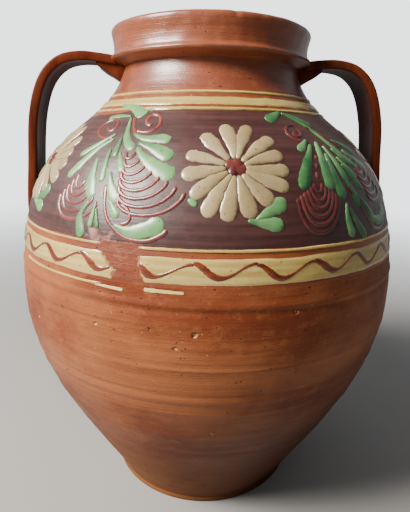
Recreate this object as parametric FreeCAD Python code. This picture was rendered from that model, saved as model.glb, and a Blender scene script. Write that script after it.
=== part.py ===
# Two-handled storage jar in slip-trailed, clear-glazed red earthenware.
# The potter throws the jar in sections and lutes them together, adds the collar and
# two strap handles, then lays coloured slips over the shoulder. Each clay part and
# each slip layer is its own solid here.
# Millimetres, +Z up. The origin is the centre of the foot, on the surface it stands on.
# -Y is the decorated front, and the handles are on -X and +X.
import FreeCAD, Part
import math
import os

V = FreeCAD.Vector
ORIGIN = V(0, 0, 0)
AXIS = V(0, 0, 1)

# Heights up the jar
HEIGHT = 440.0
FOOT_LIP_HEIGHT = 4.5
FLOOR_THICKNESS = 12.0
BELLY_JOINT = 252.0  # where the two large thrown sections meet
NECK_JOINT = 385.0
COLLAR_BOTTOM = 409.0
LIP_START = 434.0

# Radii
FOOT_RADIUS = 96.0
FOOT_WAIST_RADIUS = 94.5
FOOT_EDGE_ROUND = 1.5
NECK_RADIUS = 81.0
COLLAR_RADIUS = 91.0
COLLAR_WAIST_RADIUS = 87.5
LIP_RADIUS = 90.0
MOUTH_RADIUS = 75.0
WALL = 9.0

# The outer wall as (radius, height), from the foot's lip to under the collar
WALL_POINTS = [
    (FOOT_WAIST_RADIUS, FOOT_LIP_HEIGHT),
    (116.5, 44.0),
    (144.0, 93.0),
    (167.5, 145.0),
    (180.0, 200.0),
    (177.5, 252.0),
    (164.0, 304.0),
    (131.5, 348.0),
    (94.0, 382.0),
    (NECK_RADIUS, COLLAR_BOTTOM),
]

# Slip layers: the gap under a layer keeps its face off the face below it
SLIP_GAP = 0.05
SLIP_THICKNESS = 0.5
TRAIL_THICKNESS = 1.0
GROUND_LOW = 278.0
GROUND_HIGH = 367.3
CREAM_BAND_LOW = 371.6
CREAM_BAND_HIGH = 377.6
WAVE_BAND_LOW = 254.4
WAVE_BAND_HIGH = 271.6
LINE_WIDTH = 2.0
GROUND_FOOT_LINE = 276.6
CREAM_LINES = {
    "cream_line_under_wave_band": 249.0,
    "cream_line_ground_top": 368.6,
    "cream_line_neck": 381.7,
}

# The brown line that waves along the cream band
WAVES = 26
FIRST_WAVE_ANGLE = -1.0
WAVE_DEPTH = 9.0
WAVE_LINE_WIDTH = 3.0
WAVE_STROKE_SHARE = 0.98  # of a wave's length, which leaves a hair between strokes

# Five flowers laid by eye round the shoulder, each followed by a spray of leaves. The
# third flower faces the front, and the fifth spray fills the wider gap at the back.
FLOWERS = 5
FLOWER_SPACING = 70.0
FRONT_FLOWER_ANGLE = 2.5
FIRST_FLOWER_ANGLE = FRONT_FLOWER_ANGLE - 2 * FLOWER_SPACING
SPRAY_AFTER_FLOWER = 35.0
FLOWER_HEIGHT = 330.0
PETALS = 14
PETAL_START = 6.5
PETAL_LENGTH = 30.0
PETAL_WIDTH = 10.5
HEART_RADIUS = 5.5
PAINTED_LOW = GROUND_LOW + 2
PAINTED_HIGH = GROUND_HIGH - 1
SHELL_ANGLE = 70.0

# One spray's leaves: place across it, height of the narrow end, turn from pointing
# straight down (positive turns towards +X), length and width
SPRAY_LEAVES = [
    (-4.0, 362.0, -88.0, 30.0, 8.0),
    (2.0, 363.0, 74.0, 26.0, 8.0),
    (14.0, 344.0, 84.0, 26.0, 10.0),
    (16.0, 337.0, 62.0, 30.0, 11.0),
    (18.0, 329.0, 46.0, 34.0, 11.0),
    (2.0, 356.0, 32.0, 32.0, 7.0),
    (-10.0, 346.0, -52.0, 34.0, 9.0),
    (-4.0, 343.0, -38.0, 50.0, 10.0),
    (-10.0, 330.0, 2.0, 36.0, 11.0),
    (0.0, 336.0, 4.0, 34.0, 8.0),
    (6.0, 324.0, 14.0, 32.0, 10.0),
    (-2.0, 304.0, -16.0, 30.0, 8.0),
    (14.0, 292.0, 84.0, 30.0, 12.0),
]

# Handles: the middle of the strap as (distance from the axis, height)
HANDLE_LINE = [
    (80.0, 412.5),
    (103.0, 415.5),
    (120.0, 416.0),
    (138.0, 411.0),
    (153.0, 395.0),
    (162.5, 365.0),
    (166.5, 325.0),
    (170.0, 286.0),
    (169.0, 268.0),
]
STRAP_THICKNESS = 9.5
STRAP_WIDTH = 42.0
STRAP_EDGE_ROUND = 3.5

# The wads of clay that bed the handles under the collar, as (distance, height)
WAD_OUTLINE = [(78.0, 394.0), (84.0, 396.0), (106.0, 409.0), (100.0, 413.0), (78.0, 413.0)]
WAD_WIDTH = 36.0
WAD_ROUND = 3.0
FIT_GAP = 0.02  # between clay parts that are cut to fit each other


def through(points):
    """The smooth line in the XZ plane through some points."""
    curve = Part.BSplineCurve()
    curve.interpolate([V(r, 0, z) for r, z in points])
    return curve


def moved_out(points, distance):
    """The points moved to the right of the way that their line runs."""
    curve = through(points)
    moved = []
    for r, z in points:
        along = curve.tangent(curve.parameter(V(r, 0, z)))[0]
        moved.append((r + along.z * distance, z - along.x * distance))
    return moved


def straight(start, end):
    return Part.LineSegment(start, end).toShape()


def strip(points, inner, outer):
    """The flat face between two lines, each moved out from some points."""
    low_side = through(moved_out(points, inner)).toShape()
    high_side = through(moved_out(points, outer)).toShape()
    ends = [
        straight(low_side.Vertexes[0].Point, high_side.Vertexes[0].Point),
        straight(low_side.Vertexes[-1].Point, high_side.Vertexes[-1].Point),
    ]
    wires = Part.__sortEdges__([low_side, ends[1], high_side, ends[0]])
    return Part.Face(Part.Wire(wires))


def between(face, low, high):
    """The part of a face in the XZ plane that lies between two heights."""
    window = Part.makePlane(HEIGHT, high - low, V(0, 0, low), V(0, -1, 0), V(1, 0, 0))
    return face.common(window).Faces[0]


def turned(face, angle=360.0):
    """A face in the XZ plane spun about the jar's axis, centred on -Y if not full."""
    start = face.copy()
    if angle < 360.0:
        start.rotate(ORIGIN, AXIS, -90.0 - angle / 2)
    return Part.Solid(start.revolve(ORIGIN, AXIS, angle).Solids[0])


def section(corners):
    """A face in the XZ plane round some (radius, height) corners. A corner that is
    marked "bulge" is the middle of an arc between the corners on either side."""
    edges = []
    points = [V(corner[0], 0, corner[1]) for corner in corners]
    bulges = [len(corner) == 3 for corner in corners]
    for index, point in enumerate(points):
        following = (index + 1) % len(points)
        if bulges[following]:
            end = points[(index + 2) % len(points)]
            edges.append(Part.Arc(point, points[following], end).toShape())
        elif not bulges[index]:
            edges.append(straight(point, points[following]))
    return Part.Face(Part.Wire(edges))


def make_lower_body():
    """The foot, floor and wall up to the widest part, hollow inside."""
    wall = between(strip(WALL_POINTS, -WALL, 0), FOOT_LIP_HEIGHT, BELLY_JOINT)
    base = section(
        [
            (0, 0),
            (FOOT_RADIUS - FOOT_EDGE_ROUND, 0),
            (FOOT_RADIUS, FOOT_LIP_HEIGHT / 2, "bulge"),
            (FOOT_WAIST_RADIUS + 1.0, FOOT_LIP_HEIGHT),
            (FOOT_WAIST_RADIUS - WALL / 2, FLOOR_THICKNESS),
            (0, FLOOR_THICKNESS),
        ]
    )
    return turned(wall).fuse(turned(base)).removeSplitter().Solids[0]


def make_shoulder():
    return turned(between(strip(WALL_POINTS, -WALL, 0), BELLY_JOINT + FIT_GAP, NECK_JOINT))


def make_neck():
    wall = strip(WALL_POINTS, -WALL, 0)
    return turned(between(wall, NECK_JOINT + FIT_GAP, COLLAR_BOTTOM - FIT_GAP))


def make_collar():
    """The thick band round the mouth, with a bead below and a rounded lip."""
    return turned(
        section(
            [
                (NECK_RADIUS - WALL, COLLAR_BOTTOM),
                (COLLAR_RADIUS - 2.5, COLLAR_BOTTOM + 2.0),
                (COLLAR_RADIUS, COLLAR_BOTTOM + 4.5, "bulge"),
                (COLLAR_RADIUS - 2.0, COLLAR_BOTTOM + 7.5),
                (COLLAR_WAIST_RADIUS, COLLAR_BOTTOM + 17.0, "bulge"),
                (LIP_RADIUS, LIP_START),
                ((LIP_RADIUS + MOUTH_RADIUS) / 2, HEIGHT, "bulge"),
                (MOUTH_RADIUS, LIP_START),
            ]
        )
    )


def make_strap():
    """One handle's strap on +X, before it is cut to fit the jar."""
    half = STRAP_THICKNESS / 2
    face = strip(HANDLE_LINE, -half, half)
    face.translate(V(0, -STRAP_WIDTH / 2, 0))
    bar = face.extrude(V(0, STRAP_WIDTH, 0))
    long_edges = []
    for item in bar.Edges:
        box = item.BoundBox
        if box.ZLength > STRAP_THICKNESS * 3:
            long_edges.append(item)
    return bar.makeFillet(STRAP_EDGE_ROUND, long_edges)


def make_wad():
    corners = [V(r, -WAD_WIDTH / 2, z) for r, z in WAD_OUTLINE]
    block = Part.Face(Part.makePolygon(corners + corners[:1])).extrude(V(0, WAD_WIDTH, 0))
    lower = []
    for item in block.Edges:
        box = item.BoundBox
        if box.XMin > WAD_OUTLINE[0][0] + 1 and box.ZMax < WAD_OUTLINE[3][1] - 1:
            lower.append(item)
    return block.makeFillet(WAD_ROUND, lower)


def drop(length, width):
    """A flat teardrop from its point at the origin to its round end along +X."""
    radius = width / 2
    centre = length - radius
    lean = math.acos(radius / centre)
    side = V(centre - radius * math.cos(lean), radius * math.sin(lean), 0)
    other = V(side.x, -side.y, 0)
    round_end = Part.Arc(side, V(length, 0, 0), other).toShape()
    return Part.Face(Part.Wire([straight(ORIGIN, side), round_end, straight(other, ORIGIN)]))


def wall_radius(height):
    """The outer wall's radius at a height, and the wall's slope there."""
    curve = through(WALL_POINTS)
    level = Part.Line(V(0, 0, height), V(1, 0, height))
    point = curve.intersect(level)[0]
    return point.X, curve.tangent(curve.parameter(V(point.X, 0, point.Z)))[0]


def stroke(shell, shape, across, height, turn):
    """A flat shape laid on the wall at the front and cut from a shell round the jar.
    The turn is from pointing straight down, and positive towards +X."""
    radius, up = wall_radius(height)
    angle = math.degrees(across / radius)
    outward = V(0, -up.z, -up.x)
    climb = V(0, -up.x, up.z)
    side = V(1, 0, 0)
    lean = math.radians(turn)
    along = side * math.sin(lean) - climb * math.cos(lean)
    cutter = shape.copy()
    depth = 24.0
    cutter.Placement = FreeCAD.Placement(
        V(0, -radius, height) - outward * (depth / 2),
        FreeCAD.Rotation(along, outward.cross(along), outward, "ZXY"),
    )
    cutter = cutter.extrude(outward * depth)
    cutter.rotate(ORIGIN, AXIS, angle)
    return shell.common(cutter)


def make_petals(shell):
    petal = drop(PETAL_LENGTH, PETAL_WIDTH)
    petals = []
    for index in range(PETALS):
        turn = 360.0 * (index + 0.5) / PETALS
        shifted = petal.copy()
        shifted.translate(V(PETAL_START, 0, 0))
        petals += stroke(shell, shifted, 0.0, FLOWER_HEIGHT, turn).Solids
    return Part.makeCompound(petals)


def make_heart(shell):
    disc = Part.Face(Part.Wire(Part.makeCircle(HEART_RADIUS)))
    return Part.makeCompound(stroke(shell, disc, 0.0, FLOWER_HEIGHT, 0.0).Solids)


def make_leaves(shell):
    leaves = []
    for across, height, turn, length, width in SPRAY_LEAVES:
        leaves += stroke(shell, drop(length, width), across, height, turn).Solids
    return Part.makeCompound(leaves)


def make_wave_line():
    """Brown strokes, one to a wave, laid on the cream band all the way round."""
    outer = wall_radius((WAVE_BAND_LOW + WAVE_BAND_HIGH) / 2)[0]
    half = outer * math.radians(360.0 / WAVES) * WAVE_STROKE_SHARE / 2
    middle = (WAVE_BAND_LOW + WAVE_BAND_HIGH) / 2
    rise = WAVE_DEPTH / 2
    heights = [rise, 0.0, -rise, 0.0, rise]
    sides = []
    for shift in (-WAVE_LINE_WIDTH / 2, WAVE_LINE_WIDTH / 2):
        points = []
        for index, height in enumerate(heights):
            points.append(V(half * (index / 2 - 1), -outer - 20, middle + height + shift))
        line = Part.BSplineCurve()
        line.interpolate(points)
        sides.append(line.toShape())
    low, high = sides
    closing = [straight(low.Vertexes[i].Point, high.Vertexes[i].Point) for i in (0, -1)]
    outline = Part.Face(Part.Wire(Part.__sortEdges__([low, closing[1], high, closing[0]])))
    shell = slip_shell(2, WAVE_BAND_LOW, WAVE_BAND_HIGH, TRAIL_THICKNESS, SHELL_ANGLE)
    one = shell.common(outline.extrude(V(0, 40, 0))).Solids[0]
    return round_the_jar(one, WAVES, FIRST_WAVE_ANGLE, 360.0 / WAVES)


def slip_shell(layer, low, high, thickness, angle=360.0):
    """A thin shell on the wall. Layer 1 lies on the clay, and layer 2 on a layer 1."""
    inner = SLIP_GAP * layer + SLIP_THICKNESS * (layer - 1)
    return turned(between(strip(WALL_POINTS, inner, inner + thickness), low, high), angle)


def make_cream_line(height):
    low = height - LINE_WIDTH / 2
    return slip_shell(1, low, low + LINE_WIDTH, TRAIL_THICKNESS)


def round_the_jar(shape, count, first_angle, spacing):
    """Copies of a shape at the front, turned to evenly spaced angles."""
    copies = []
    for index in range(count):
        copy = shape.copy()
        copy.rotate(ORIGIN, AXIS, first_angle + spacing * index)
        copies += copy.Solids
    return Part.makeCompound(copies)


def export(shape, name):
    os.makedirs("parts", exist_ok=True)
    shape.exportStep(f"parts/{name}.step")
    solids = shape.Solids
    print(f"{name}: {len(solids)} solid(s), valid {shape.isValid()}, {shape.Volume / 1000:.1f} cm3")


# Clay parts
lower_body = make_lower_body()
shoulder = make_shoulder()
neck = make_neck()
collar = make_collar()
export(lower_body, "lower_body")
export(shoulder, "shoulder")
export(neck, "neck")
export(collar, "rim_collar")

# Handles, cut to fit the jar, and the slips that stop at the handles' feet
ground = slip_shell(1, GROUND_LOW, GROUND_HIGH, SLIP_THICKNESS)
ground_foot_line = make_cream_line(GROUND_FOOT_LINE)
strap = make_strap()
for part in (shoulder, neck, collar):
    strap = strap.cut(part)
strap = max(strap.Solids, key=lambda solid: solid.Volume)
wad = make_wad()
for part in (neck, collar, strap):
    wad = wad.cut(part)
wad = max(wad.Solids, key=lambda solid: solid.Volume)
for name, angle in (("right", 0.0), ("left", 180.0)):
    handle = strap.copy()
    handle.rotate(ORIGIN, AXIS, angle)
    bed = wad.copy()
    bed.rotate(ORIGIN, AXIS, angle)
    export(handle, f"handle_{name}")
    export(bed, f"handle_wad_{name}")
    ground = ground.cut(handle)
    ground_foot_line = ground_foot_line.cut(handle)

# Slip layers
export(Part.makeCompound(ground.Solids), "dark_ground_slip")
export(Part.makeCompound(ground_foot_line.Solids), "cream_line_ground_foot")
export(slip_shell(1, CREAM_BAND_LOW, CREAM_BAND_HIGH, SLIP_THICKNESS), "cream_band_neck")
export(slip_shell(1, WAVE_BAND_LOW, WAVE_BAND_HIGH, SLIP_THICKNESS), "cream_wave_band")
for name, height in CREAM_LINES.items():
    export(make_cream_line(height), name)
export(make_wave_line(), "brown_wave_line")

# The slip-trailed flowers and sprays
painted = slip_shell(2, PAINTED_LOW, PAINTED_HIGH, TRAIL_THICKNESS, SHELL_ANGLE)
petals = make_petals(painted)
heart = make_heart(painted)
leaves = make_leaves(painted)
for index in range(FLOWERS):
    turn = FIRST_FLOWER_ANGLE + FLOWER_SPACING * index
    flower = petals.copy()
    flower.rotate(ORIGIN, AXIS, turn)
    export(flower, f"daisy_petals_{index + 1}")
    spray = leaves.copy()
    spray.rotate(ORIGIN, AXIS, turn + SPRAY_AFTER_FLOWER)
    export(spray, f"spray_leaves_{index + 1}")
hearts = round_the_jar(heart, FLOWERS, FIRST_FLOWER_ANGLE, FLOWER_SPACING)
export(hearts, "daisy_hearts")
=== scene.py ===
import math
import random

import bmesh
import bpy
import numpy as np
from mathutils import Matrix, Vector, noise


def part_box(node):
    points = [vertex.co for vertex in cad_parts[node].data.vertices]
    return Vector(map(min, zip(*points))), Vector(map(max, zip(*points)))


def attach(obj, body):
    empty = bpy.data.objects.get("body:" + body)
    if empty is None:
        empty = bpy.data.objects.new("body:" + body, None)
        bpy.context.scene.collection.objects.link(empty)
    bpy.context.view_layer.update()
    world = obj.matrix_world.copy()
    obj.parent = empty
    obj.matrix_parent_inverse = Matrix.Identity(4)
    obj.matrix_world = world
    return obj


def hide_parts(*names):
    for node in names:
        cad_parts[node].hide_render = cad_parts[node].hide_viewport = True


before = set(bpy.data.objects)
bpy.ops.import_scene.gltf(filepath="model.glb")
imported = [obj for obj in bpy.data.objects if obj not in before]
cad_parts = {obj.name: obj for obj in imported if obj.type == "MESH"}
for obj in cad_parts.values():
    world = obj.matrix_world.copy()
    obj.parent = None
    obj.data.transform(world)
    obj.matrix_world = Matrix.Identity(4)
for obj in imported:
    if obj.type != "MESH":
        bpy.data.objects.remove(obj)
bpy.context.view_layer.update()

# Lower thrown section. Red earthenware thrown as a deep bowl: the flat foot, the floor
# and the wall up to the widest part. It is cut from the wheel with a wire and left with
# the rings that the potter's fingers made. A thin clear glaze stops above the foot.
WALL_THICKNESS = 0.009
FLOOR_TOP = 0.012
SPIN_STEPS = 360
BELLY_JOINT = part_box("lower_body")[1].z
NECK_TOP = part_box("neck")[1].z

# Rings that stand out from the rest, as (height, how far proud, half width)
THROWING_RINGS = [
    (0.2390, 0.0007, 0.0022),
    (0.2345, -0.0006, 0.0020),
    (0.1935, 0.0006, 0.0011),
    (0.1690, -0.0006, 0.0016),
    (0.1630, 0.0004, 0.0018),
    (0.1580, -0.0004, 0.0014),
    (0.1500, 0.0004, 0.0025),
    (0.1260, 0.0005, 0.0020),
    (0.0980, -0.0004, 0.0020),
    (0.0400, -0.0004, 0.0015),
]

# Chips through the glaze, as (angle in degrees, height, width, depth)
CHIPS = [
    (-11.6, 0.2094, 0.0030, 0.0007),
    (-7.4, 0.2200, 0.0042, 0.0011),
    (-9.8, 0.2152, 0.0018, 0.0004),
    (-30.8, 0.2191, 0.0028, 0.0008),
    (-17.2, 0.2213, 0.0020, 0.0004),
    (-54.8, 0.2033, 0.0028, 0.0006),
    (-2.6, 0.1298, 0.0028, 0.0006),
    (15.4, 0.2336, 0.0030, 0.0006),
    (49.2, 0.2218, 0.0030, 0.0006),
    (123.0, 0.1750, 0.0040, 0.0008),
    (171.0, 0.2150, 0.0036, 0.0008),
    (-118.0, 0.1420, 0.0036, 0.0008),
]


def cad_wall(height):
    """How far out the CAD wall is at a height, looked for from the front."""
    for node in ("lower_body", "shoulder", "neck"):
        found, place, _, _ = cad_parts[node].ray_cast((0, -1, height), (0, 1, 0))
        if found:
            return -place.y
    return None


WALL_STEP = 0.001
wall_heights = np.arange(WALL_STEP / 2, NECK_TOP - WALL_STEP / 2, WALL_STEP)
wall_radii = np.array([cad_wall(height) or np.nan for height in wall_heights])
known = ~np.isnan(wall_radii)
wall_radii = np.interp(wall_heights, wall_heights[known], wall_radii[known])
rounding = np.hanning(11) / np.hanning(11).sum()
rounded = np.convolve(np.pad(wall_radii, 5, mode="reflect", reflect_type="odd"), rounding, "valid")
wall_steps = np.where(wall_heights < FLOOR_TOP, wall_radii, rounded).tolist()


def between(values, index):
    """The value at a place that may lie between two entries of an evenly spaced list."""
    index = min(max(index, 0.0), len(values) - 1.001)
    whole = int(index)
    return values[whole] + (values[whole + 1] - values[whole]) * (index - whole)


def wall_radius(height):
    return between(wall_steps, height / WALL_STEP - 0.5)


def wall_slope(height):
    """How much the outer wall's radius grows for each metre up."""
    return (wall_radius(height + WALL_STEP) - wall_radius(height - WALL_STEP)) / (2 * WALL_STEP)


def unevenness(angle, height):
    """How far the wall stands out of true, from throwing and from drying."""
    around = Vector((math.sin(angle), math.cos(angle), 0))
    fine = noise.noise(around * 0.3 + Vector((0, 0, height / 0.0045)))
    broad = noise.noise(around * 0.7 + Vector((5, 0, height / 0.028)))
    smoothed = 1.0 if height < BELLY_JOINT else 0.35
    out = smoothed * (0.00020 * fine + 0.00055 * broad)
    out += 0.0006 * math.sin(2 * angle + 0.6) + 0.0003 * math.sin(3 * angle + 2.0)
    for level, proud, half_width in THROWING_RINGS:
        away = (height - level - 0.0012 * math.sin(angle + level * 90)) / half_width
        if abs(away) < 3:
            out += proud * math.exp(-away * away)
    return out * min(1.0, height / 0.03)


def on_wall(angle, height, proud=0.0):
    """A point on the outer wall, proud of it by a distance, and the way out there.
    Angles run from the front, -Y, towards +X."""
    level = Vector((math.sin(angle), -math.cos(angle), 0))
    outward = (level - Vector((0, 0, wall_slope(height)))).normalized()
    place = level * wall_radius(height) + Vector((0, 0, height))
    return place + outward * (proud + unevenness(angle, height)), outward


def angle_of(place):
    return math.atan2(place.x, -place.y)


def spin_outline(outline, closed=True):
    """A bmesh of an outline of (radius, height) points, spun about the jar's axis."""
    shape = bmesh.new()
    corners = [shape.verts.new((0, -radius, height)) for radius, height in outline]
    edges = [shape.edges.new(pair) for pair in zip(corners, corners[1:])]
    if closed:
        edges.append(shape.edges.new((corners[-1], corners[0])))
    bmesh.ops.spin(
        shape,
        geom=corners + edges,
        axis=(0, 0, 1),
        cent=(0, 0, 0),
        angle=math.tau,
        steps=SPIN_STEPS,
        use_merge=True,
    )
    bmesh.ops.remove_doubles(shape, verts=shape.verts, dist=1e-6)
    bmesh.ops.recalc_face_normals(shape, faces=shape.faces)
    return shape


def inner_radius(height):
    return wall_radius(height) - WALL_THICKNESS * math.hypot(1, wall_slope(height))


def wall_outline(low, high, step=0.0016, inner_step=0.005):
    """The outline of a thrown section's wall: up the outside, then down the inside."""
    outside = [(wall_radius(z), z) for z in np.linspace(low, high, round((high - low) / step))]
    levels = np.linspace(high, low, round((high - low) / inner_step))
    return outside, [(inner_radius(z), z) for z in levels]


def make_uneven(shape):
    """Moves the walls in and out as unevenness says, and most on the outside."""
    for vert in shape.verts:
        radius = vert.co.xy.length
        if radius < WALL_THICKNESS:
            continue
        outside = radius > wall_radius(vert.co.z) - WALL_THICKNESS / 2
        shift = unevenness(angle_of(vert.co), vert.co.z) * (1.0 if outside else 0.6)
        vert.co.xy *= 1 + shift / radius


def finish_piece(shape, name, material, slot, *nodes):
    """Makes a bmesh a smooth-shaded piece of the jar that stands for some CAD nodes."""
    for edge in shape.edges:
        edge.smooth = edge.calc_face_angle(0.0) < math.radians(50)
    for face in shape.faces:
        face.smooth = True
    mesh = bpy.data.meshes.new(name)
    shape.to_mesh(mesh)
    shape.free()
    mesh.materials.append(material)
    piece = bpy.data.objects.new(name, mesh)
    bpy.context.scene.collection.objects.link(piece)
    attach(piece, "root")
    if nodes:
        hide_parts(*nodes)
    return piece


def rgb(red, green, blue):
    """A colour from its 0 to 255 screen values, as the shaders' linear light."""
    levels = [value / 255 for value in (red, green, blue)]
    linear = [v / 12.92 if v <= 0.04045 else ((v + 0.055) / 1.055) ** 2.4 for v in levels]
    return (*linear, 1.0)


def add_node(tree, kind, inputs, output=0, **settings):
    """Adds a shader node, feeds its inputs with values or sockets, and gives an output."""
    node = tree.nodes.new("ShaderNode" + kind)
    for key, value in settings.items():
        setattr(node, key, value)
    for key, value in inputs.items():
        if isinstance(value, bpy.types.NodeSocket):
            tree.links.new(value, node.inputs[key])
        else:
            node.inputs[key].default_value = value
    return node.outputs[output]


class Finish:
    """A glazed clay material while its nodes are put together."""

    def __init__(self, name, coat, coat_roughness):
        self.material = bpy.data.materials.new(name)
        self.material.use_nodes = True
        self.tree = self.material.node_tree
        self.shader = self.tree.nodes["Principled BSDF"]
        self.shader.inputs["Coat Weight"].default_value = coat
        self.shader.inputs["Coat Roughness"].default_value = coat_roughness
        self.shader.inputs["IOR"].default_value = 1.5
        self.place = self.add("TexCoord", {}, "Object")

    def add(self, kind, inputs, output=0, **settings):
        return add_node(self.tree, kind, inputs, output, **settings)

    def attribute(self, name):
        return self.add("Attribute", {}, "Fac", attribute_name=name)

    def times(self, first, second):
        return self.add("Math", {0: first, 1: second}, operation="MULTIPLY")

    def total(self, start, *terms):
        """A start value with more values added to it, each times its share."""
        for value, share in terms:
            start = self.add("Math", {0: value, 1: share, 2: start}, operation="MULTIPLY_ADD")
        return start

    def grain(self, scale, stretch=(1, 1, 1), detail=3.0, roughness=0.5):
        """Noise over the piece, 0 to 1, with a scale in features per metre."""
        place = self.add("Mapping", {"Vector": self.place, "Scale": stretch})
        inputs = {"Vector": place, "Scale": scale, "Detail": detail, "Roughness": roughness}
        return self.add("TexNoise", inputs)

    def step(self, value, low, high, start=0.0, end=1.0):
        """A smooth climb from start to end as the value goes from low to high."""
        inputs = {0: value, 1: low, 2: high, 3: start, 4: end}
        return self.add("MapRange", inputs, interpolation_type="SMOOTHSTEP")

    def mix(self, share, first, second):
        return self.add("Mix", {0: share, 6: first, 7: second}, 2, data_type="RGBA")

    def worn(self, scale=260.0, depth=0.5):
        """Where the piece's worn attribute says that the surface is gone, ragged-edged."""
        ragged = self.total(-depth / 2, (self.grain(scale), depth), (self.attribute("worn"), 1.0))
        return self.step(ragged, 0.42, 0.58)

    def bump(self, height, distance, strength=1.0):
        inputs = {"Height": height, "Distance": distance, "Strength": strength}
        return self.add("Bump", inputs)

    def finish(self, colour, roughness, normal):
        self.tree.links.new(colour, self.shader.inputs["Base Color"])
        self.tree.links.new(roughness, self.shader.inputs["Roughness"])
        self.tree.links.new(normal, self.shader.inputs["Normal"])
        return self.material


def make_clay(name, coat, dark, light, shine):
    """Red earthenware under clear glaze: cloudy in tone, ringed by throwing, gritty and
    pitted, and bare and tan towards the foot. shine lowers the roughness."""
    clay = Finish(name, coat, 0.30)
    clay.shader.inputs["Specular IOR Level"].default_value = 0.10 + 0.5 * coat
    height = clay.add("SeparateXYZ", {0: clay.place}, "Z")
    cloud = clay.grain(7.0, (1, 1, 1.6), 4.0, 0.6)
    rings = clay.grain(14.0, (0.30, 0.30, 20), 4.0, 0.70)
    fine_rings = clay.grain(30.0, (0.6, 0.6, 26), 3.0, 0.65)
    mottle = clay.grain(90.0, (1, 1, 1.4), 4.0, 0.7)
    grit = clay.grain(520.0, (1, 1, 1.5), 3.0, 0.6)
    colour = clay.mix(clay.step(cloud, 0.34, 0.66), rgb(*dark), rgb(*light))
    colour = clay.mix(clay.step(rings, 0.50, 0.72, 0.0, 0.38), colour, rgb(76, 30, 15))
    colour = clay.mix(clay.step(mottle, 0.50, 0.72, 0.0, 0.38), colour, rgb(158, 98, 56))
    colour = clay.mix(clay.step(fine_rings, 0.54, 0.74, 0.0, 0.22), colour, rgb(64, 26, 14))
    colour = clay.mix(clay.step(grit, 0.60, 0.74, 0.0, 0.35), colour, rgb(176, 112, 66))
    # the glaze was not brought down to the foot, so the clay there is dry and tan
    ragged_height = clay.total(-0.025, (rings, 0.050), (height, 1.0))
    bare_foot = clay.step(ragged_height, 0.042, 0.112, 0.80, 0.0)
    colour = clay.mix(bare_foot, colour, rgb(128, 80, 42))
    streaks = clay.step(clay.times(fine_rings, mottle), 0.26, 0.36)
    colour = clay.mix(clay.times(streaks, bare_foot), colour, rgb(98, 56, 28))
    # painted shade where the lower wall falls into shadow: darker towards the bottom, and most on
    # the right, away from the key light
    painted_shade = clay.step(ragged_height, 0.075, 0.215, 0.90, 0.0)
    side = clay.add("SeparateXYZ", {0: clay.place}, "X")
    painted_shade = clay.times(painted_shade, clay.step(side, -0.090, 0.060, 0.20, 1.0))
    colour = clay.mix(painted_shade, colour, rgb(56, 21, 9))
    # pinholes and specks of lime
    specks = clay.step(clay.grain(420.0, detail=1.0), 0.770, 0.800, 0.0, 0.6)
    pinholes = clay.step(clay.grain(300.0, (1, 1, 1.7), 1.0), 0.735, 0.780)
    colour = clay.mix(specks, colour, rgb(200, 150, 108))
    colour = clay.mix(pinholes, colour, rgb(38, 16, 10))
    worn = clay.worn()
    chipped = clay.mix(clay.step(grit, 0.42, 0.60), rgb(92, 46, 26), rgb(214, 160, 112))
    colour = clay.mix(worn, colour, chipped)
    rough = clay.step(cloud, 0.3, 0.7, 0.52 - shine, 0.40 - shine)
    rough = clay.total(rough, (bare_foot, 0.35), (worn, 0.30))
    relief = clay.total(0.0, (rings, 0.7), (fine_rings, 0.3), (mottle, 0.5),
                        (grit, 0.34 - shine), (pinholes, -1.0), (worn, -0.8))
    return clay.finish(colour, rough, clay.bump(relief, 0.0007, 0.9))


body_clay = make_clay("earthenware_body", 0.05, (106, 48, 26), (150, 89, 54), 0.0)

outside, inside = wall_outline(0.0065, BELLY_JOINT)
foot = [(0.0, 0.0), (0.045, 0.0), (0.080, 0.0), (wall_radius(0.001) - 0.0012, 0.0)]
foot += [(wall_radius(z), z) for z in (0.0008, 0.0018, 0.0030, 0.0040, 0.0050)]
floor = [(inner_radius(0.020) - 0.006, FLOOR_TOP + 0.001), (0.06, FLOOR_TOP), (0.0, FLOOR_TOP)]
inside = [(radius, z) for radius, z in inside if z > FLOOR_TOP + 0.006]
shape = spin_outline(foot + outside + inside + floor, closed=False)
make_uneven(shape)
worn_layer = shape.verts.layers.float.new("worn")
for angle, height, width, depth in CHIPS:
    centre, outward = on_wall(math.radians(angle), height)
    near = [v for v in shape.verts if (v.co - centre).length < width * 1.5]
    edges = {edge for vert in near for edge in vert.link_edges}
    bmesh.ops.subdivide_edges(shape, edges=list(edges), cuts=3, use_grid_fill=True)
    for vert in shape.verts:
        away = (vert.co - centre).length
        if away < width * 1.4:
            ragged = away * (1 + 0.45 * noise.noise(vert.co * 420))
            inside_chip = max(0.0, 1 - (ragged / (width * 0.5)) ** 2)
            vert.co -= outward * depth * min(1.0, inside_chip * 2.2)
            vert[worn_layer] = min(1.0, inside_chip * 3)
finish_piece(shape, "lower_body_thrown", body_clay, "glazed_earthenware", "lower_body")


# Upper thrown section. A second bowl thrown upside down, luted on at the belly and drawn
# in to the shoulder. Bare clay shows only in the gaps between its coats of slip.
shoulder_clay = make_clay("earthenware_shoulder", 0.4, (110, 48, 26), (148, 79, 44), 0.06)
shoulder_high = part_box("shoulder")[1].z
outside, inside = wall_outline(BELLY_JOINT, shoulder_high, 0.0018)
shape = spin_outline(outside + inside)
make_uneven(shape)
finish_piece(shape, "shoulder_thrown", shoulder_clay, "glazed_earthenware", "shoulder")


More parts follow.
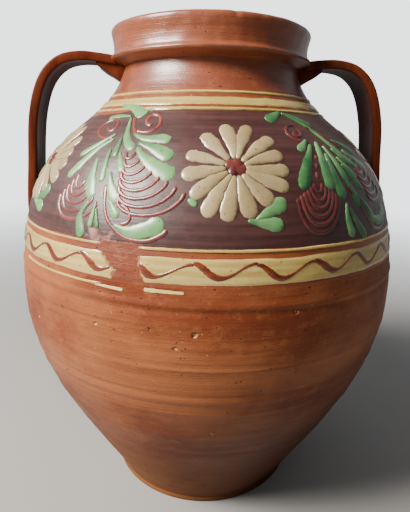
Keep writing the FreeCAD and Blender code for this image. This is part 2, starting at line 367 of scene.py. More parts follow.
# Neck. A short ring thrown straight on to the shoulder, smoothed with a wet rag, with
# the glaze pooled thick and glossy over it.
neck_clay = make_clay("earthenware_neck", 0.6, (101, 45, 29), (135, 72, 46), 0.10)
outside, inside = wall_outline(shoulder_high, NECK_TOP, 0.0015, 0.004)
shape = spin_outline(outside + inside)
make_uneven(shape)
finish_piece(shape, "neck_thrown", neck_clay, "glazed_earthenware", "neck")


# Collar. A thick coil set on the neck and turned to an upright band, with a bead along
# its lower edge, a waist above that and a rounded lip, under the same glossy glaze.
collar_low, collar_high = (corner.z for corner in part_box("rim_collar"))
collar_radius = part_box("rim_collar")[1].x
COLLAR_OUTLINE = [  # (how far in from the bead's radius, how far up from the collar's foot)
    (0.0190, -0.0012),
    (0.0108, -0.0012),
    (0.0082, 0.0004),
    (0.0058, 0.0016),
    (0.0024, 0.0028),
    (0.0003, 0.0040),
    (-0.0003, 0.0055),
    (0.0006, 0.0070),
    (0.0028, 0.0080),
    (0.0034, 0.0098),
    (0.0035, 0.0155),
    (0.0029, 0.0210),
    (0.0017, 0.0258),
    (0.0018, 0.0286),
    (0.0038, 0.0306),
    (0.0085, 0.0310),
    (0.0130, 0.0298),
    (0.0158, 0.0262),
    (0.0170, 0.0150),
]
scale = (collar_high - collar_low) / 0.031
swell = 0.0018  # what the rounding takes off again
outline = [(collar_radius + swell - inward, collar_low + up * scale)
           for inward, up in COLLAR_OUTLINE]
lip_dent = Vector((0.0110, -0.0905, collar_high - 0.0012))
shape = spin_outline(outline)
for vert in shape.verts:
    near = max(0.0, 1 - (vert.co - lip_dent).length / 0.0042)
    vert.co += Vector((0, 0.0016, -0.0010)) * near
    angle = angle_of(vert.co)
    around = Vector((math.sin(angle), math.cos(angle), 0))
    uneven = 0.0009 * noise.noise(around * 2.2 + Vector((0, 0, vert.co.z * 60)))
    uneven += 0.0004 * noise.noise(around * 9 + Vector((7, 0, vert.co.z * 110)))
    vert.co.xy *= 1 + uneven / vert.co.xy.length
    vert.co.z += 0.0005 * noise.noise(around * 1.5) * (vert.co.z > collar_low + 0.004)
collar = finish_piece(shape, "rim_collar_turned", neck_clay, "glazed_earthenware", "rim_collar")
collar.modifiers.new("rounding", "SUBSURF").levels = 1
collar.modifiers["rounding"].render_levels = 1


# Handles. Two straps pulled by hand from a lump of wet clay, 42 mm wide, with thick rolled
# edges and a shallow channel between them. Each is pushed against the collar's foot,
# arched over and smeared on to the shoulder.
HANDLE_LINE = [  # (distance out, height) down the middle of the strap
    (0.0800, 0.4125),
    (0.1030, 0.4155),
    (0.1200, 0.4160),
    (0.1380, 0.4110),
    (0.1530, 0.3950),
    (0.1625, 0.3650),
    (0.1665, 0.3250),
    (0.1700, 0.2860),
    (0.1690, 0.2680),
]
STRAP_THICKNESS = 0.0095
STRAP_STATIONS = 100


def smooth_line(corners, count):
    """Lists of the coordinates of evenly spaced points on a smooth curve through some
    corners, of the slopes there, and the curve's length."""
    corners = np.array(corners, float)
    before = 2 * corners[0] - corners[1]
    after = 2 * corners[-1] - corners[-2]
    ends = np.vstack([before, corners, after])
    curve = []
    for a, b, c, d in zip(ends, ends[1:], ends[2:], ends[3:]):
        for t in np.linspace(0, 1, 16, endpoint=False):
            bend = (2 * a - 5 * b + 4 * c - d) * t**2 + (3 * b - a - 3 * c + d) * t**3
            curve.append(0.5 * (2 * b + (c - a) * t + bend))
    curve = np.array(curve + [corners[-1]])
    reach = np.append(0, np.cumsum(np.linalg.norm(np.diff(curve, axis=0), axis=1)))
    even = np.linspace(0, reach[-1], count)
    points = np.column_stack([np.interp(even, reach, axis) for axis in curve.T])
    return points.T.tolist(), np.gradient(points, axis=0).T.tolist(), float(reach[-1])


def make_handle_clay():
    """The same clay, reddened and darkened where the glaze ran thick, and paler along the
    straps' rolled edges: partly rubbed, partly a painted highlight where they catch the light."""
    clay = Finish("earthenware_handle", 0.06, 0.22)
    clay.shader.inputs["Specular IOR Level"].default_value = 0.05
    cloud = clay.grain(16.0, (1, 1, 0.7), 4.0, 0.6)
    drag = clay.grain(60.0, (1.6, 1.6, 0.25), 3.0, 0.6)
    colour = clay.mix(clay.step(cloud, 0.35, 0.65), rgb(58, 20, 13), rgb(84, 31, 18))
    colour = clay.mix(clay.step(drag, 0.52, 0.70, 0.0, 0.5), colour, rgb(40, 14, 9))
    # painted highlight along the straps' rolled edges, together with their rubbing
    rubbed_and_highlit = clay.times(clay.attribute("edge"), clay.step(drag, 0.30, 0.62, 0.05, 0.40))
    colour = clay.mix(rubbed_and_highlit, colour, rgb(126, 64, 38))
    rough = clay.step(cloud, 0.3, 0.7, 0.40, 0.30)
    relief = clay.total(drag, (clay.grain(220.0, detail=2.0), 1.0))
    return clay.finish(colour, rough, clay.bump(relief, 0.0003, 0.7))


def make_handle(node, name, side, lean):
    """Shapes a strap from a long ball, whose poles are the ends hidden in the clay."""
    low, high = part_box(node)
    half_width = (high.y - low.y) / 2
    points, slopes, _ = smooth_line(HANDLE_LINE, STRAP_STATIONS)
    shape = bmesh.new()
    bmesh.ops.create_uvsphere(shape, u_segments=40, v_segments=64, radius=1)
    edge_layer = shape.verts.layers.float.new("edge")
    for vert in shape.verts:
        station = (1 - vert.co.z) / 2 * (STRAP_STATIONS - 1)
        here = [between(axis, station) for axis in points]
        slope = [between(axis, station) for axis in slopes]
        along = Vector((side * slope[0], 0, slope[1])).normalized()
        outward = Vector((-along.z * side, 0, abs(along.x))).normalized()
        if outward.x * side < 0 and outward.z <= 0:
            outward = -outward
        around = math.atan2(vert.co.y, vert.co.x)
        size = min(1.0, vert.co.xy.length * 3.0)
        share = math.copysign(abs(math.cos(around)) ** 0.50, math.cos(around))
        rise = math.copysign(abs(math.sin(around)) ** 0.34, math.sin(around))
        channel = 0.34 if rise > 0 else 0.42
        rise *= 1 - channel * (1 - abs(share) ** 2.2)
        seed = Vector((station * 0.05, side * 3, share))
        wide = half_width * size * (0.985 + 0.05 * noise.noise(seed * 0.7))
        thick = STRAP_THICKNESS / 2 * size * (1.10 + 0.10 * noise.noise(seed))
        drift = 0.0012 * noise.noise(Vector((station * 0.04, side * 7, 0)))
        offset = Vector((0, share * wide + drift, 0)) + outward * (rise * thick)
        offset = Matrix.Rotation(lean, 3, along) @ offset
        vert.co = Vector((side * here[0], 0, here[1])) + offset
        vert[edge_layer] = max(0.0, abs(share) * 4.0 - 3.0)
    bmesh.ops.recalc_face_normals(shape, faces=shape.faces)
    handle = finish_piece(shape, name, handle_clay, "handle_earthenware", node)
    rounding = handle.modifiers.new("rounding", "SUBSURF")
    rounding.levels = 1
    rounding.render_levels = 1


handle_clay = make_handle_clay()
make_handle("handle_right", "handle_right_strap", 1, math.radians(2))
make_handle("handle_left", "handle_left_strap", -1, math.radians(-2))


# Wads. A thumbed lump of the same clay is pressed into the corner between each handle,
# the neck and the collar, and glazed over with the rest.
WAD_OUTLINE = [  # (distance out, height)
    (0.0775, 0.3940),
    (0.0830, 0.3955),
    (0.0960, 0.4030),
    (0.1060, 0.4100),
    (0.1010, 0.4140),
    (0.0775, 0.4130),
]


def make_wad(node, name, side):
    low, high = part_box(node)
    shape = bmesh.new()
    corners = [shape.verts.new((side * out, low.y, height)) for out, height in WAD_OUTLINE]
    end = shape.faces.new(corners)
    grown = bmesh.ops.extrude_face_region(shape, geom=[end])["geom"]
    new = [part for part in grown if isinstance(part, bmesh.types.BMVert)]
    bmesh.ops.translate(shape, verts=new, vec=(0, high.y - low.y, 0))
    bmesh.ops.recalc_face_normals(shape, faces=shape.faces)
    bmesh.ops.bevel(shape, geom=shape.edges[:], offset=0.0034, segments=3, profile=0.5,
                    affect="EDGES", clamp_overlap=True, material=-1)
    bmesh.ops.triangulate(shape, faces=shape.faces)
    bmesh.ops.subdivide_edges(shape, edges=shape.edges[:], cuts=3, use_grid_fill=True)
    for _ in range(4):
        bmesh.ops.smooth_vert(shape, verts=shape.verts, factor=0.5,
                              use_axis_x=True, use_axis_y=True, use_axis_z=True)
    edge_layer = shape.verts.layers.float.new("edge")
    for vert in shape.verts:
        vert.co += 0.0011 * noise.noise_vector(vert.co * 90 + Vector((side * 4, 0, 0)))
        # the whole wad takes the handles' paler streaks, rubbed and painted highlight alike
        vert[edge_layer] = 1.0
    finish_piece(shape, name, handle_clay, "handle_earthenware", node)


noise.seed_set(3)  # or noise_vector would start from the clock, and differ in each run
make_wad("handle_wad_right", "handle_right_wad", 1)
make_wad("handle_wad_left", "handle_left_wad", -1)


# Dark ground. A coat of brown slip brushed round the shoulder on the turning wheel, from
# the wave band up to the foot of the neck. It is thin, streaky, and worn away low on the
# left of the front.
def worn_share(angle, height):
    """How far the slip has worn off the jar at a place: 1 where it is quite gone."""
    degrees = (math.degrees(angle) + 180) % 360 - 180
    patchy = noise.noise(Vector((degrees * 0.35, height * 260, 2)))
    if height < 0.2515:
        kept = min(degrees + 64.0, -29.0 - degrees) / 4.0
        return max(0.0, min(1.0, 0.85 - kept + 0.5 * patchy))
    left = -26.4 - 4.2 * max(0.0, min(1.0, (height - 0.2600) / 0.012))
    right = -18.4 - 1.3 * max(0.0, min(1.0, (height - 0.2550) / 0.010))
    inside = min(degrees - left, right - degrees) / 2.0 + 0.5
    gone = min(inside, 1 - max(0.0, (height - 0.2770) / 0.005)) + 0.25 * patchy
    away = math.hypot((degrees + 30.5) / 5.0, (height - 0.2815) / 0.0060)
    haze = 0.60 - 0.20 * away + 0.12 * patchy
    flecks = noise.noise(Vector((degrees * 0.9, height * 190, 5))) - 0.42
    return max(0.0, min(1.0, max(gone, haze, flecks)))


def lay_band(name, node, material, slot, thick, rows, ragged):
    """Spins a coat of slip on to the wall over a CAD node's height, domed and thin at
    its edges, which wander up and down by the ragged distance."""
    low, high = (corner.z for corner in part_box(node))
    heights = np.linspace(low, high, rows)
    dome = [1 - abs(2 * (z - low) / (high - low) - 1) ** 8 for z in heights]
    front = [(wall_radius(z) + 0.0001 + thick * d, z) for z, d in zip(heights, dome)]
    back = [(wall_radius(z) - 0.0004, z) for z in heights[::-1]]
    shape = spin_outline(front + back)
    crest_layer = shape.verts.layers.float.new("crest")
    worn_layer = shape.verts.layers.float.new("worn")
    for vert in shape.verts:
        angle, height = angle_of(vert.co), vert.co.z
        around = Vector((math.sin(angle), math.cos(angle), 0))
        proud = vert.co.xy.length - wall_radius(height)
        share = (height - low) / (high - low)
        wander = noise.noise(around * 6 + Vector((0, 0, share * 2)))
        wander += 0.5 * noise.noise(around * 22 + Vector((3, 0, share * 2)))
        height += ragged * wander * abs(2 * share - 1) ** 2
        if proud > 0:
            worn = worn_share(angle, height)
            proud *= 0.9 + 0.25 * noise.noise(around * 12 + Vector((0, 0, height * 160)))
            proud -= (proud + 0.0003) * max(0.0, min(1.0, worn * 3 - 1.4))
            vert[worn_layer] = worn
            vert[crest_layer] = 1 - abs(2 * share - 1) ** 4
        vert.co = on_wall(angle, height, proud)[0]
    finish_piece(shape, name, material, slot, node)


def make_slip(name, dark, light, edge, coat, shine, streaks=(0.5, 0.5, 8), worn_colour=None,
              pale_colour=None, coat_roughness=0.26):
    """Slip under clear glaze: streaky or cloudy between two colours, thin and tinted by
    the clay at its edges, and a little different from one stroke to the next."""
    slip = Finish(name, coat, coat_roughness)
    cloud = slip.grain(34.0, streaks, 4.0, 0.6)
    fine = slip.grain(150.0, detail=3.0, roughness=0.6)
    share = slip.total(slip.step(cloud, 0.34, 0.68, 0.0, 0.6), (slip.attribute("tone"), 1.0))
    colour = slip.mix(share, rgb(*dark), rgb(*light))
    thick = slip.total(0.5, (fine, 0.7), (slip.attribute("crest"), 1.0))
    colour = slip.mix(slip.step(thick, 0.20, 0.85, 0.85, 0.0), colour, rgb(*edge))
    specks = slip.step(slip.grain(380.0, detail=1.0), 0.70, 0.75, 0.0, 0.7)
    colour = slip.mix(specks, colour, rgb(*edge))
    rough = slip.step(fine, 0.3, 0.7, 0.42 - shine, 0.30 - shine)
    relief = slip.total(cloud, (fine, 0.6))
    if worn_colour:
        worn = slip.worn()
        clay = slip.mix(slip.step(fine, 0.40, 0.66), rgb(*worn_colour), rgb(*pale_colour))
        colour = slip.mix(worn, colour, clay)
        rough = slip.total(rough, (worn, 0.35))
        relief = slip.total(relief, (worn, -1.5))
    return slip.finish(colour, rough, slip.bump(relief, 0.0003, 0.7))


ground_slip = make_slip(
    "dark_ground", (54, 26, 24), (86, 50, 45), (78, 34, 24), 0.34, -0.06,
    (0.30, 0.30, 11.0), (132, 72, 54), (158, 112, 104), 0.46,
)
lay_band("ground_coat", "dark_ground_slip", ground_slip, "dark_ground_slip", 0.0005, 60, 0.0008)


# Cream bands and lines. Thicker cream slip, laid with the jar turning on the wheel: a band
# and two lines under the collar, the wave band over the joint of the two thrown
# sections, and a line above and below that. Rubbed through in places.
cream_slip = make_slip(
    "cream_slip", (172, 146, 74), (212, 188, 118), (130, 78, 34), 0.6, 0.10,
    (0.4, 0.4, 9.0), (142, 70, 34), (176, 108, 62),
)
CREAM_BANDS = [  # (name, node, thickness, rows of points, how far the edges wander)
    ("neck_band", "cream_band_neck", 0.0007, 10, 0.0006),
    ("neck_line", "cream_line_neck", 0.0007, 6, 0.0004),
    ("ground_top_line", "cream_line_ground_top", 0.0007, 6, 0.0005),
    ("wave_band", "cream_wave_band", 0.0007, 16, 0.0008),
    ("ground_foot_line", "cream_line_ground_foot", 0.0007, 6, 0.0005),
    ("under_wave_line", "cream_line_under_wave_band", 0.0005, 6, 0.0005),
]
for name, node, thick, rows, ragged in CREAM_BANDS:
    lay_band(name, node, cream_slip, "cream_slip", thick, rows, ragged)


# Wavy line. Brown slip from a horn with a narrow spout, waved up and down over the cream
# band as the wheel turned: heavy on the way down, thin on the way up.
WAVES = 26
WAVE_TOP = 0.2682
WAVE_FOOT = 0.2588
TRAIL_STATIONS = 80
TYPICAL_RADIUS = 0.15  # which turns degrees round the jar into distances along a trail


def start_trails():
    """An empty shape, ready to note each trail's tone and how high it is domed."""
    shape = bmesh.new()
    shape.verts.layers.float.new("tone")
    shape.verts.layers.float.new("crest")
    return shape


def lay_trail(shape, corners, widths, thick, tone=0.0, around=12, along=18, wears=False):
    """Lays a domed trail of slip on the wall through corners of (degrees, height), with
    its widths evenly spaced along it. One that wears is gone where the slip under it is."""
    tone_layer = shape.verts.layers.float["tone"]
    crest_layer = shape.verts.layers.float["crest"]
    line = [(math.radians(angle) * TYPICAL_RADIUS, height) for angle, height in corners]
    points, slopes, length = smooth_line(line, TRAIL_STATIONS)
    ball = bmesh.ops.create_uvsphere(shape, u_segments=around, v_segments=along, radius=1)
    for vert in ball["verts"]:
        share = (vert.co.z + 1) / 2
        index = share * (TRAIL_STATIONS - 1)
        angle = between(points[0], index) / TYPICAL_RADIUS
        height = between(points[1], index)
        turn = between(slopes[0], index) / TYPICAL_RADIUS
        climb = between(slopes[1], index)
        half = between(widths, share * (len(widths) - 1)) / 2
        end = min(1.0, min(share, 1 - share) * length / half)
        end = math.sqrt(max(0.0, 1 - (1 - end) ** 2))
        ring = max(1e-4, vert.co.xy.length)
        side, top = vert.co.x / ring, vert.co.y / ring
        uneven = 1 + 0.22 * noise.noise(Vector((index * 0.16, height * 900, angle * 30)))
        across = side * half * end * uneven
        radius = wall_radius(height)
        slant = math.hypot(1, wall_slope(height))
        run, rise = turn * radius, climb * slant
        reach = max(1e-9, math.hypot(run, rise))
        angle += across * rise / reach / radius
        height -= across * run / reach / slant
        proud = top * thick * end if top > 0 else top * 0.0004
        if wears:
            proud -= 0.0018 * max(0.0, min(1.0, worn_share(angle, height) * 3 - 1.4))
        vert.co = on_wall(angle, height, proud + 0.0003)[0]
        vert[tone_layer] = tone
        vert[crest_layer] = max(0.0, top) * end


def finish_trails(shape, name, material, slot, *nodes):
    """Turns the trails' faces outwards and makes all of them one piece."""
    bmesh.ops.recalc_face_normals(shape, faces=shape.faces)
    finish_piece(shape, name, material, slot, *nodes)


brown_slip = make_slip("brown_wave", (84, 28, 12), (132, 58, 26), (88, 34, 14), 0.6, 0.10)
shape = start_trails()
random.seed(4)
for wave in range(WAVES):
    step = 360 / WAVES
    start = 5.8 + wave * step
    top = WAVE_TOP + random.uniform(-0.0007, 0.0007)
    foot = WAVE_FOOT + random.uniform(-0.0008, 0.0008)
    lean = random.uniform(-0.5, 0.5)
    corners = []
    for share in (-0.02, 0.07, 0.16, 0.26, 0.36, 0.45, 0.54, 0.64, 0.75, 0.86, 0.95, 1.02):
        warped = share / 0.84 if share < 0.42 else 0.5 + (share - 0.42) / 1.16
        swing = (1 + math.cos(math.tau * warped)) / 2
        across = start + step * share + lean * math.sin(math.pi * share) ** 2
        corners.append((across, foot + (top - foot) * swing))
    heavy = random.uniform(0.0054, 0.0066)
    widths = (0.0026, heavy * 0.8, heavy, heavy * 0.9, 0.0032, 0.0022, 0.0019, 0.0020, 0.0026)
    lay_trail(shape, corners, widths, 0.0009, random.uniform(0, 0.3), 10, 40, True)
finish_trails(shape, "wavy_line", brown_slip, "brown_slip", "brown_wave_line")

# all that is left of the line under the wave band at the front
SMEARS = [
    ([(-31.0, 0.2482), (-27.0, 0.2478), (-23.6, 0.2474)], (0.0012, 0.0024)),
    ([(-18.6, 0.2494), (-14.0, 0.2491), (-9.7, 0.2488)], (0.0028, 0.0018)),
]
shape = start_trails()
for corners, widths in SMEARS:
    lay_trail(shape, corners, widths, 0.0001, 0.9)
finish_trails(shape, "cream_smears", cream_slip, "cream_slip")


# Daisies. Fourteen thick cream petals trailed outwards from a heart of four red-brown
# blobs run together, with a green two-lobed leaf and a leaf tip just below.
DAISY_HEIGHT = 0.3286
PETAL_START = 0.0065
DAISY_ANGLES = [1.9, 72.5, 142.5, -137.5, -66.5]
PETALS = [  # (clock angle in degrees, how far the tip is from the middle)
    (354.5, 0.0395),
    (17.0, 0.0412),
    (48.0, 0.0402),
    (73.0, 0.0375),
    (95.5, 0.0384),
    (117.0, 0.0393),
    (142.0, 0.0360),
    (165.5, 0.0377),
    (191.5, 0.0393),
    (212.0, 0.0416),
    (235.0, 0.0377),
    (261.5, 0.0373),
    (289.0, 0.0350),
    (325.0, 0.0362),
]


def shifted(angle, height, across, up):
    """A place on the wall some distance to the right of another and up the slope."""
    for _ in range(16):
        height += up / 16 / math.hypot(1, wall_slope(height))
        angle += math.degrees(across / 16 / wall_radius(height))
    return angle, height


petal_slip = make_slip(
    "petal_slip", (138, 116, 77), (177, 158, 119), (116, 76, 44), 0.6, 0.10, (1, 1, 1)
)
red_slip = make_slip(
    "red_slip", (66, 21, 20), (124, 56, 49), (66, 25, 22), 0.5, 0.06, (1, 1, 1)
)
green_slip = make_slip(
    "green_slip", (31, 84, 42), (114, 162, 102), (24, 54, 28), 0.35, 0.0, (1, 1, 1)
)


def nearest_node(family, angle):
    """The one of a family's five CAD nodes that lies nearest to an angle round the jar."""
    def distance(node):
        low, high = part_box(node)
        return abs((math.degrees(angle_of((low + high) / 2)) - angle + 180) % 360 - 180)
    return min((f"{family}_{number}" for number in range(1, 6)), key=distance)


hearts = start_trails()
for number, angle in enumerate(DAISY_ANGLES):
    random.seed(20 + number)
    shape = start_trails()
    wobble = 0.0 if number == 0 else 1.0
    for clock, reach in PETALS:
        clock = math.radians(clock + wobble * random.uniform(-4, 4))
        reach *= 1 + wobble * random.uniform(-0.06, 0.06)
        corners = []
        for distance in (PETAL_START, PETAL_START * 0.55 + reach * 0.45, reach):
            bend = random.uniform(-0.05, 0.05)
            corners.append(shifted(angle, DAISY_HEIGHT, distance * math.sin(clock + bend),
                                   distance * math.cos(clock + bend)))
        fat = random.uniform(0.0098, 0.0118)
        widths = (0.0038, fat * 0.58, fat * 0.92, fat * 1.04, fat)
        lay_trail(shape, corners, widths, 0.0013, random.uniform(0, 0.4), 16, 20)
    node = nearest_node("daisy_petals", angle)
    finish_trails(shape, f"daisy_{number + 1}", petal_slip, "petal_slip", node)
    for blob in range(4):
        turn = math.radians(90 * blob + random.uniform(-20, 20))
        start = shifted(angle, DAISY_HEIGHT, -0.0034 * math.sin(turn), -0.0034 * math.cos(turn))
        end = shifted(angle, DAISY_HEIGHT, 0.0086 * math.sin(turn + 0.4),
                      0.0074 * math.cos(turn + 0.4))
        fat = random.uniform(0.0076, 0.0090)
        lay_trail(hearts, (start, end), (fat, fat * 0.9), 0.0015, random.uniform(0, 0.3), 14, 14)
finish_trails(hearts, "daisy_hearts", red_slip, "red_slip", "daisy_hearts")

DAISY_LEAVES = [  # (corners from the daisy's middle in degrees and heights, widths)
    ([(11.6, 0.3090), (9.0, 0.3035), (4.0, 0.2963)], (0.0100, 0.0112, 0.0070, 0.0020)),
    ([(10.6, 0.2925), (7.0, 0.2935), (2.0, 0.2957)], (0.0092, 0.0098, 0.0060, 0.0020)),
    ([(-11.6, 0.3085), (-9.4, 0.3045)], (0.0030, 0.0050, 0.0034)),
]
shape = start_trails()
for angle in DAISY_ANGLES:
    for corners, widths in DAISY_LEAVES:
        placed = [(angle + around, height) for around, height in corners]
        lay_trail(shape, placed, widths, 0.0011, random.uniform(0.1, 0.5), 14, 16)
finish_trails(shape, "daisy_leaves", green_slip, "green_slip")


# Leafy sprays. Between the daisies: green and pale leaves trailed off a short red stem,
# with two spirals and two stacks of nested red arches run in between them.
SPRAYS = [  # (degrees from the front, painted light and shade on its slips: paler on the spray left of the front, where light and sheen fall, darker on the one right of it, in shade)
    (-32.5, 0.35),
    (34.5, -0.22),
    (107.5, 0.0),
    (177.5, 0.0),
    (-102.5, 0.0),
]
LEAVES = [  # (corners from the spray's middle in degrees and mm of height, width in mm)
    ([(-14.7, 371.0), (-5.7, 369.0), (2.0, 362.5)], 10.5),
    ([(-3.7, 362.0), (-9.7, 362.5), (-15.7, 361.0)], 6.0),
    ([(-3.2, 361.0), (1.3, 345.0), (5.3, 338.0)], 7.0),
    ([(2.8, 349.0), (7.3, 346.0), (13.3, 346.0), (15.9, 344.5)], 9.5),
    ([(5.8, 343.0), (12.3, 339.0), (17.6, 333.5)], 11.0),
    ([(6.3, 340.0), (9.3, 333.5), (14.3, 326.5), (19.0, 322.0)], 13.5),
    ([(1.3, 336.5), (2.8, 330.0), (4.3, 323.0)], 7.0),
    ([(-1.0, 347.0), (-0.2, 333.0)], 6.0),
    ([(-2.7, 339.0), (-1.3, 316.0)], 7.0),
    ([(-5.7, 332.0), (-4.7, 317.0), (-2.7, 305.0)], 10.5),
    ([(0.7, 323.5), (2.3, 314.5), (5.3, 303.5)], 10.0),
    ([(3.3, 305.0), (6.1, 294.0)], 7.0),
    ([(-3.7, 345.5), (-8.7, 336.5), (-15.2, 317.5)], 8.0),
    ([(-4.2, 349.0), (-14.7, 333.0)], 6.0),
    ([(-3.0, 303.5), (-5.0, 292.5), (-3.7, 278.5)], 8.5),
    ([(-0.7, 303.5), (-1.4, 286.0)], 5.0),
    ([(-0.2, 299.0), (1.0, 286.0)], 4.0),
    ([(5.3, 289.5), (9.8, 286.0), (14.3, 289.0), (17.6, 294.0)], 13.0),
]
SECOND_LEAVES = [  # the same for the spray to the right of the front, trailed less alike
    ([(-8.9, 365.0), (-2.0, 357.0), (2.5, 346.0), (6.7, 335.0), (11.0, 327.0)], 6.0),
    ([(-10.6, 367.0), (-14.0, 364.0), (-18.5, 360.0)], 10.0),
    ([(-10.4, 366.0), (-5.1, 363.0), (1.8, 357.0)], 9.0),
    ([(-6.5, 344.0), (-11.9, 329.0), (-15.7, 314.0)], 10.5),
    ([(-7.2, 347.0), (-12.2, 339.0)], 7.5),
    ([(-3.3, 346.0), (-5.0, 332.0), (-6.1, 313.0)], 11.5),
    ([(-2.2, 338.0), (-2.9, 322.0), (-2.3, 306.0)], 11.0),
    ([(-1.2, 343.0), (0.6, 331.0), (1.6, 318.0)], 8.0),
    ([(0.8, 322.0), (2.6, 311.0), (3.4, 300.0)], 8.0),
    ([(-1.9, 304.0), (-2.5, 292.0), (-1.4, 280.0)], 8.5),
    ([(-1.4, 301.0), (1.0, 290.0), (4.1, 277.5)], 8.5),
    ([(3.6, 309.0), (8.0, 297.0), (9.9, 288.0)], 8.0),
    ([(2.2, 341.0), (8.5, 329.0)], 6.0),
    ([(2.3, 335.0), (7.5, 320.0)], 6.0),
    ([(2.7, 330.0), (8.0, 311.0)], 6.0),
    ([(5.8, 347.0), (12.3, 343.0), (17.6, 337.5)], 9.0),
    ([(8.3, 340.0), (12.3, 333.5), (19.0, 325.0)], 11.0),
    ([(8.3, 291.0), (13.8, 287.0), (17.3, 290.0), (20.6, 295.0)], 12.0),
]


def arch(left, right, top, drop, lift):
    """A hanging arch's corners, down from the left and up again to the right."""
    width = right - left
    return [(left, top), (left + width * 0.04, top - drop * 0.5),
            (left + width * 0.20, top - drop * 0.9), (left + width * 0.45, top - drop),
            (left + width * 0.72, top - drop * 0.82 + lift * 0.2),
            (left + width * 0.92, top - drop * 0.4 + lift * 0.6), (right, top + lift)]


CURLS = [
    [(-1.7, 361.0), (2.8, 350.0), (7.3, 344.5)],
    [(7.6, 355.5), (5.4, 356.5), (4.4, 360.5), (6.6, 363.2), (9.4, 361.2), (10.4, 356.0),
     (8.8, 351.4), (5.8, 350.6), (2.8, 351.5)],
    [(-11.2, 354.5), (-9.6, 351.6), (-7.2, 352.8), (-7.8, 357.5), (-11.6, 360.6), (-15.2, 357.0),
     (-14.4, 350.4), (-9.6, 346.2), (-4.6, 346.2)],
    [(0.8, 315.0), (1.6, 305.0), (2.9, 295.0), (5.2, 288.0), (8.7, 282.0), (13.6, 281.0),
     (17.0, 285.0), (18.6, 289.0)],
    [(6.4, 303.0), (8.4, 300.0), (9.3, 296.0), (8.9, 292.0), (7.0, 290.0)],
]
for number in range(8):
    CURLS.append(arch(3.6 + 0.23 * number, 6.4 + 2.23 * number, 337.0 - 4.3 * number,
                      4.6 + 0.75 * number, 0.8 * number))
for number in range(5):
    CURLS.append(arch(-10.4 - 1.2 * number, -6.8 + 1.6 * number, 321.0 - 3.8 * number,
                      10.0 + 1.6 * number, -3.5))
SECOND_CURLS = [
    [(-9.4, 353.0), (-10.6, 350.8), (-9.2, 349.2), (-7.2, 351.8), (-7.6, 356.0), (-10.4, 357.2),
     (-12.9, 353.8), (-12.4, 348.6), (-9.4, 345.4)],
    [(-6.7, 336.5), (-7.2, 333.5)],
    [(-8.2, 331.0), (-8.6, 327.5)],
    [(-9.3, 325.5), (-9.8, 321.0)],
    [(-3.0, 357.0), (3.5, 350.0), (9.0, 341.0)],
    [(0.8, 315.0), (3.0, 305.0), (4.9, 297.0), (8.7, 284.0), (13.6, 281.0), (19.0, 286.0)],
]
for number in range(6):
    SECOND_CURLS.append(arch(-11.8 - 1.15 * number, -9.0 + 0.95 * number,
                             318.0 - 1.8 * number, 6.0 + 3.4 * number, 0.0))
for number in range(7):
    SECOND_CURLS.append(arch(8.6 + 0.23 * number, 11.4 + 1.6 * number, 337.0 - 4.8 * number,
                             4.0 + 0.35 * number, 0.7 * number))

for number, (angle, painted_light_shift) in enumerate(SPRAYS):
    random.seed(40 + number)
    wobble = 0.0 if number < 2 else 1.0
    shape = start_trails()
    for corners, width in SECOND_LEAVES if number == 1 else LEAVES:
        slide, lift = wobble * random.uniform(-0.8, 0.8), wobble * random.uniform(-1.5, 1.5)
        placed = [(angle + around + slide, (height + lift) / 1000) for around, height in corners]
        fat = width / 1000 * (1 + wobble * random.uniform(-0.12, 0.12))
        widths = (fat * 0.28, fat * 0.50, fat * 0.78, fat * 0.96, fat)
        # the leaves' tone carries the spray's painted light and shade
        lay_trail(shape, placed, widths, 0.0012, painted_light_shift + random.uniform(-0.1, 0.4), 14, 20)
    node = nearest_node("spray_leaves", angle)
    finish_trails(shape, f"spray_{number + 1}_leaves", green_slip, "green_slip", node)
    shape = start_trails()
    for corners in SECOND_CURLS if number == 1 else CURLS:
        slide, lift = wobble * random.uniform(-0.5, 0.5), wobble * random.uniform(-0.8, 0.8)
        placed = [(angle + around + slide, (height + lift) / 1000) for around, height in corners]
        fine = random.uniform(0.0029, 0.0035)
        widths = (fine * 1.25, fine, fine, fine * 0.9, fine * 1.1)
        # the curls' tone carries the spray's painted light and shade
        lay_trail(shape, placed, widths, 0.0009, painted_light_shift + random.uniform(0, 0.5), 8, 32)
    finish_trails(shape, f"spray_{number + 1}_curls", red_slip, "red_slip")


# Floor, lights and camera. A pale plain floor and surroundings, one large soft light from
# the upper left in front, and the camera at the height of the jar's shoulder.
ROOM_LEFT = 0.38
ROOM_BACK = 0.42
ROOM_RIGHT = 0.28
ROOM_SEEN = 2.6
ROOM_COLOUR = (0.95, 0.97, 1.0, 1.0)

backdrop = bpy.data.materials.new("pale_floor")
backdrop.use_nodes = True
studio = backdrop.node_tree
matt = studio.nodes["Principled BSDF"]
matt.inputs["Base Color"].default_value = rgb(150, 148, 145)
matt.inputs["Roughness"].default_value = 0.8
# the floor's far edge melts into the pale room
place = add_node(studio, "TexCoord", {}, "Object")
away = add_node(studio, "VectorMath", {0: place}, "Value", operation="LENGTH")
fade = add_node(studio, "MapRange", {0: away, 1: 0.35, 2: 2.2}, interpolation_type="SMOOTHSTEP")
seen = add_node(studio, "LightPath", {}, "Is Camera Ray")
share = add_node(studio, "Math", {0: fade, 1: seen}, operation="MULTIPLY")
shine = add_node(studio, "Emission", {"Color": ROOM_COLOUR, "Strength": ROOM_SEEN})
blend = add_node(studio, "MixShader", {0: share, 1: matt.outputs[0], 2: shine})
studio.links.new(blend, studio.nodes["Material Output"].inputs["Surface"])
shape = bmesh.new()
bmesh.ops.create_grid(shape, x_segments=8, y_segments=8, size=4)
mesh = bpy.data.meshes.new("floor")
shape.to_mesh(mesh)
shape.free()
mesh.materials.append(backdrop)
floor = bpy.data.objects.new("floor", mesh)
bpy.context.scene.collection.objects.link(floor)

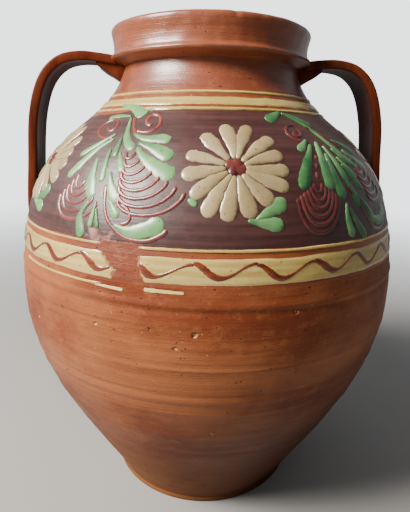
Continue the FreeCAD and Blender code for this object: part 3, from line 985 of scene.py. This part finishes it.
# the room: brighter on the left and behind, dim on the right, and pale where it is seen
world = bpy.data.worlds.new("soft_room")
world.use_nodes = True
room = world.node_tree
way = add_node(room, "TexCoord", {}, "Generated")


def glow(towards, low, strength):
    """Light from the part of the room that lies towards a direction."""
    inputs = {0: way, 1: Vector(towards).normalized()}
    facing = add_node(room, "VectorMath", inputs, "Value", operation="DOT_PRODUCT")
    inputs = {0: facing, 1: low, 2: 1.0, 3: 0.0, 4: strength}
    return add_node(room, "MapRange", inputs, interpolation_type="SMOOTHSTEP")


left = glow((-0.8, -0.3, 0.5), -0.5, ROOM_LEFT)
back = glow((0.0, 1.0, 0.1), 0.2, ROOM_BACK)
right = glow((1.0, 0.25, 0.15), 0.55, ROOM_RIGHT)
total = add_node(room, "Math", {0: left, 1: back}, operation="ADD")
total = add_node(room, "Math", {0: total, 1: right}, operation="ADD")
seen = add_node(room, "LightPath", {}, "Is Camera Ray")
share = add_node(room, "Mix", {0: seen, 2: total, 3: ROOM_SEEN})
room.links.new(share, room.nodes["Background"].inputs["Strength"])
room.nodes["Background"].inputs["Color"].default_value = ROOM_COLOUR
bpy.context.scene.world = world

KEY_PLACE = Vector((-1.20, -0.52, 1.29))
KEY_AIM = Vector((0, 0, 0.27))
lamp = bpy.data.lights.new("key", "AREA")
lamp.energy = 100
lamp.size = 0.62
lamp.color = (1.0, 0.96, 0.89)
key = bpy.data.objects.new("key", lamp)
key.location = KEY_PLACE
key.rotation_euler = (KEY_AIM - KEY_PLACE).to_track_quat("-Z", "Y").to_euler()
bpy.context.scene.collection.objects.link(key)

camera_data = bpy.data.cameras.new("camera")
camera_data.sensor_fit = "VERTICAL"
camera_data.sensor_height = 36
camera_data.lens = 30.69
camera = bpy.data.objects.new("camera", camera_data)
heading = Matrix.Rotation(math.radians(-5.03), 4, "Z")
pitch = Matrix.Rotation(math.radians(74.65), 4, "X")
roll = Matrix.Rotation(math.radians(1.215), 4, "Z")
camera.matrix_world = Matrix.Translation((-0.0406, -0.4459, 0.3489)) @ heading @ pitch @ roll
bpy.context.scene.collection.objects.link(camera)
bpy.context.scene.camera = camera
